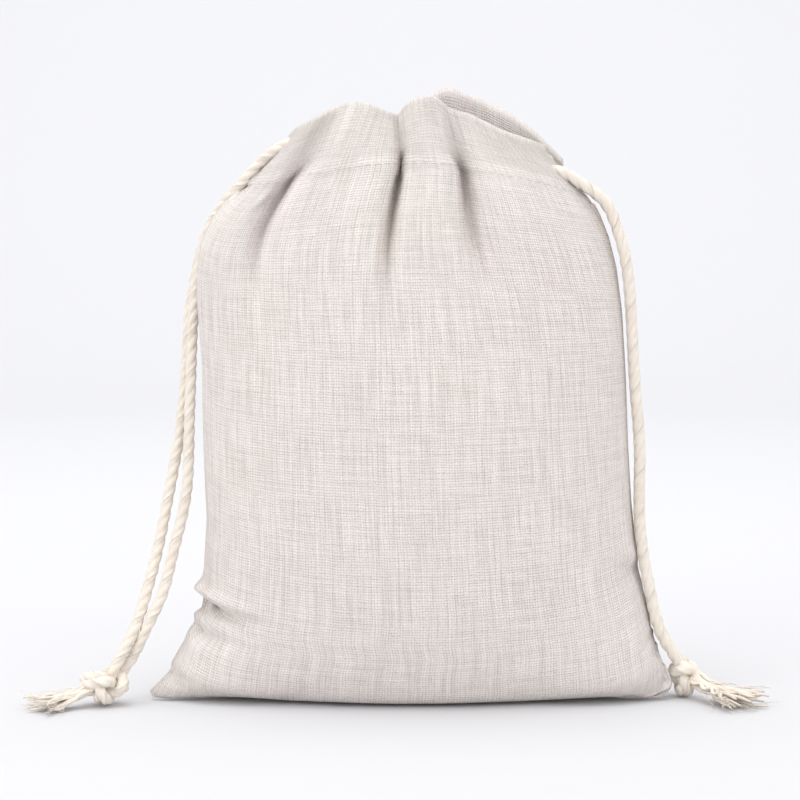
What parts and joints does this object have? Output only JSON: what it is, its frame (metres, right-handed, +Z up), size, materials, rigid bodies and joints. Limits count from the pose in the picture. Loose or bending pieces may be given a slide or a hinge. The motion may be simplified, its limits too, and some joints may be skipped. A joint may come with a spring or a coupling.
{
  "type": "drawstring gift pouch",
  "caption": "Standing woven cloth gift pouch, gathered shut by two opposed twisted drawcords that end in knots and frayed tassels",
  "frame": {"origin": "Centre of the standing pouch's base, on the surface it stands on", "axes": "+Z up, the front panel faces -Y, +X to the right seen from the front"},
  "size_m": [0.2268, 0.0671, 0.182],
  "materials": {
    "cloth": "plain weave cotton and linen, matt",
    "casing_cloth": "plain weave cotton and linen, gathered",
    "thread": "sewing thread",
    "cord": "twisted three-ply cotton cord"
  },
  "bodies": {
    "pouch": {"front_panel": "cloth", "back_panel": "cloth", "left_seam_thread": "thread", "right_seam_thread": "thread", "bottom_seam_thread": "thread", "left_overlock": "thread", "right_overlock": "thread", "bottom_overlock": "thread", "left_slit_bartack": "thread", "right_slit_bartack": "thread", "left_cord_return": "cord", "right_cord_return": "cord"},
    "front_rim": {"front_casing": "casing_cloth", "front_casing_stitch": "thread", "left_cord_front_run": "cord", "right_cord_front_run": "cord"},
    "back_rim": {"back_casing": "casing_cloth", "back_casing_stitch": "thread", "left_cord_back_run": "cord", "right_cord_back_run": "cord"},
    "left_cord": {"left_cord_front_top": "cord", "left_cord_back_top": "cord"},
    "left_drop": {"left_cord_front_drop": "cord", "left_cord_back_drop": "cord", "left_knot": "cord"},
    "left_end": {"left_tassel": "cord"},
    "right_cord": {"right_cord_front_top": "cord", "right_cord_back_top": "cord"},
    "right_drop": {"right_cord_front_drop": "cord", "right_cord_back_drop": "cord", "right_knot": "cord"},
    "right_end": {"right_tassel": "cord"}
  },
  "joints": [
    {"name": "front_rim_open", "type": "hinge", "parent": "pouch", "child": "front_rim", "pos_m": [0, -0.0125, 0.15], "axis": [1, 0, 0], "range_deg": [0, 35]},
    {"name": "back_rim_open", "type": "hinge", "parent": "pouch", "child": "back_rim", "pos_m": [0, 0.0125, 0.15], "axis": [-1, 0, 0], "range_deg": [0, 35]},
    {"name": "left_cord_pull", "type": "slide", "parent": "pouch", "child": "left_cord", "axis": [-1, 0, 0], "range_m": [0, 0.01]},
    {"name": "left_cord_swing", "type": "hinge", "parent": "left_cord", "child": "left_drop", "pos_m": [-0.057, 0.006, 0.1475], "axis": [0, 1, 0], "range_deg": [0, 60]},
    {"name": "left_tassel_sweep", "type": "hinge", "parent": "left_drop", "child": "left_end", "pos_m": [-0.091, -0.015, 0.006], "axis": [0, 0, 1], "range_deg": [-25, 25]},
    {"name": "right_cord_pull", "type": "slide", "parent": "pouch", "child": "right_cord", "axis": [1, 0, 0], "range_m": [0, 0.01]},
    {"name": "right_cord_swing", "type": "hinge", "parent": "right_cord", "child": "right_drop", "pos_m": [0.058, -0.002, 0.1495], "axis": [0, -1, 0], "range_deg": [0, 60]},
    {"name": "right_tassel_sweep", "type": "hinge", "parent": "right_drop", "child": "right_end", "pos_m": [0.083, -0.003, 0.0065], "axis": [0, 0, 1], "range_deg": [-25, 25]}
  ],
  "couplings": [
    {"joint": "back_rim_open", "follows": "front_rim_open", "ratio": 1}
  ]
}
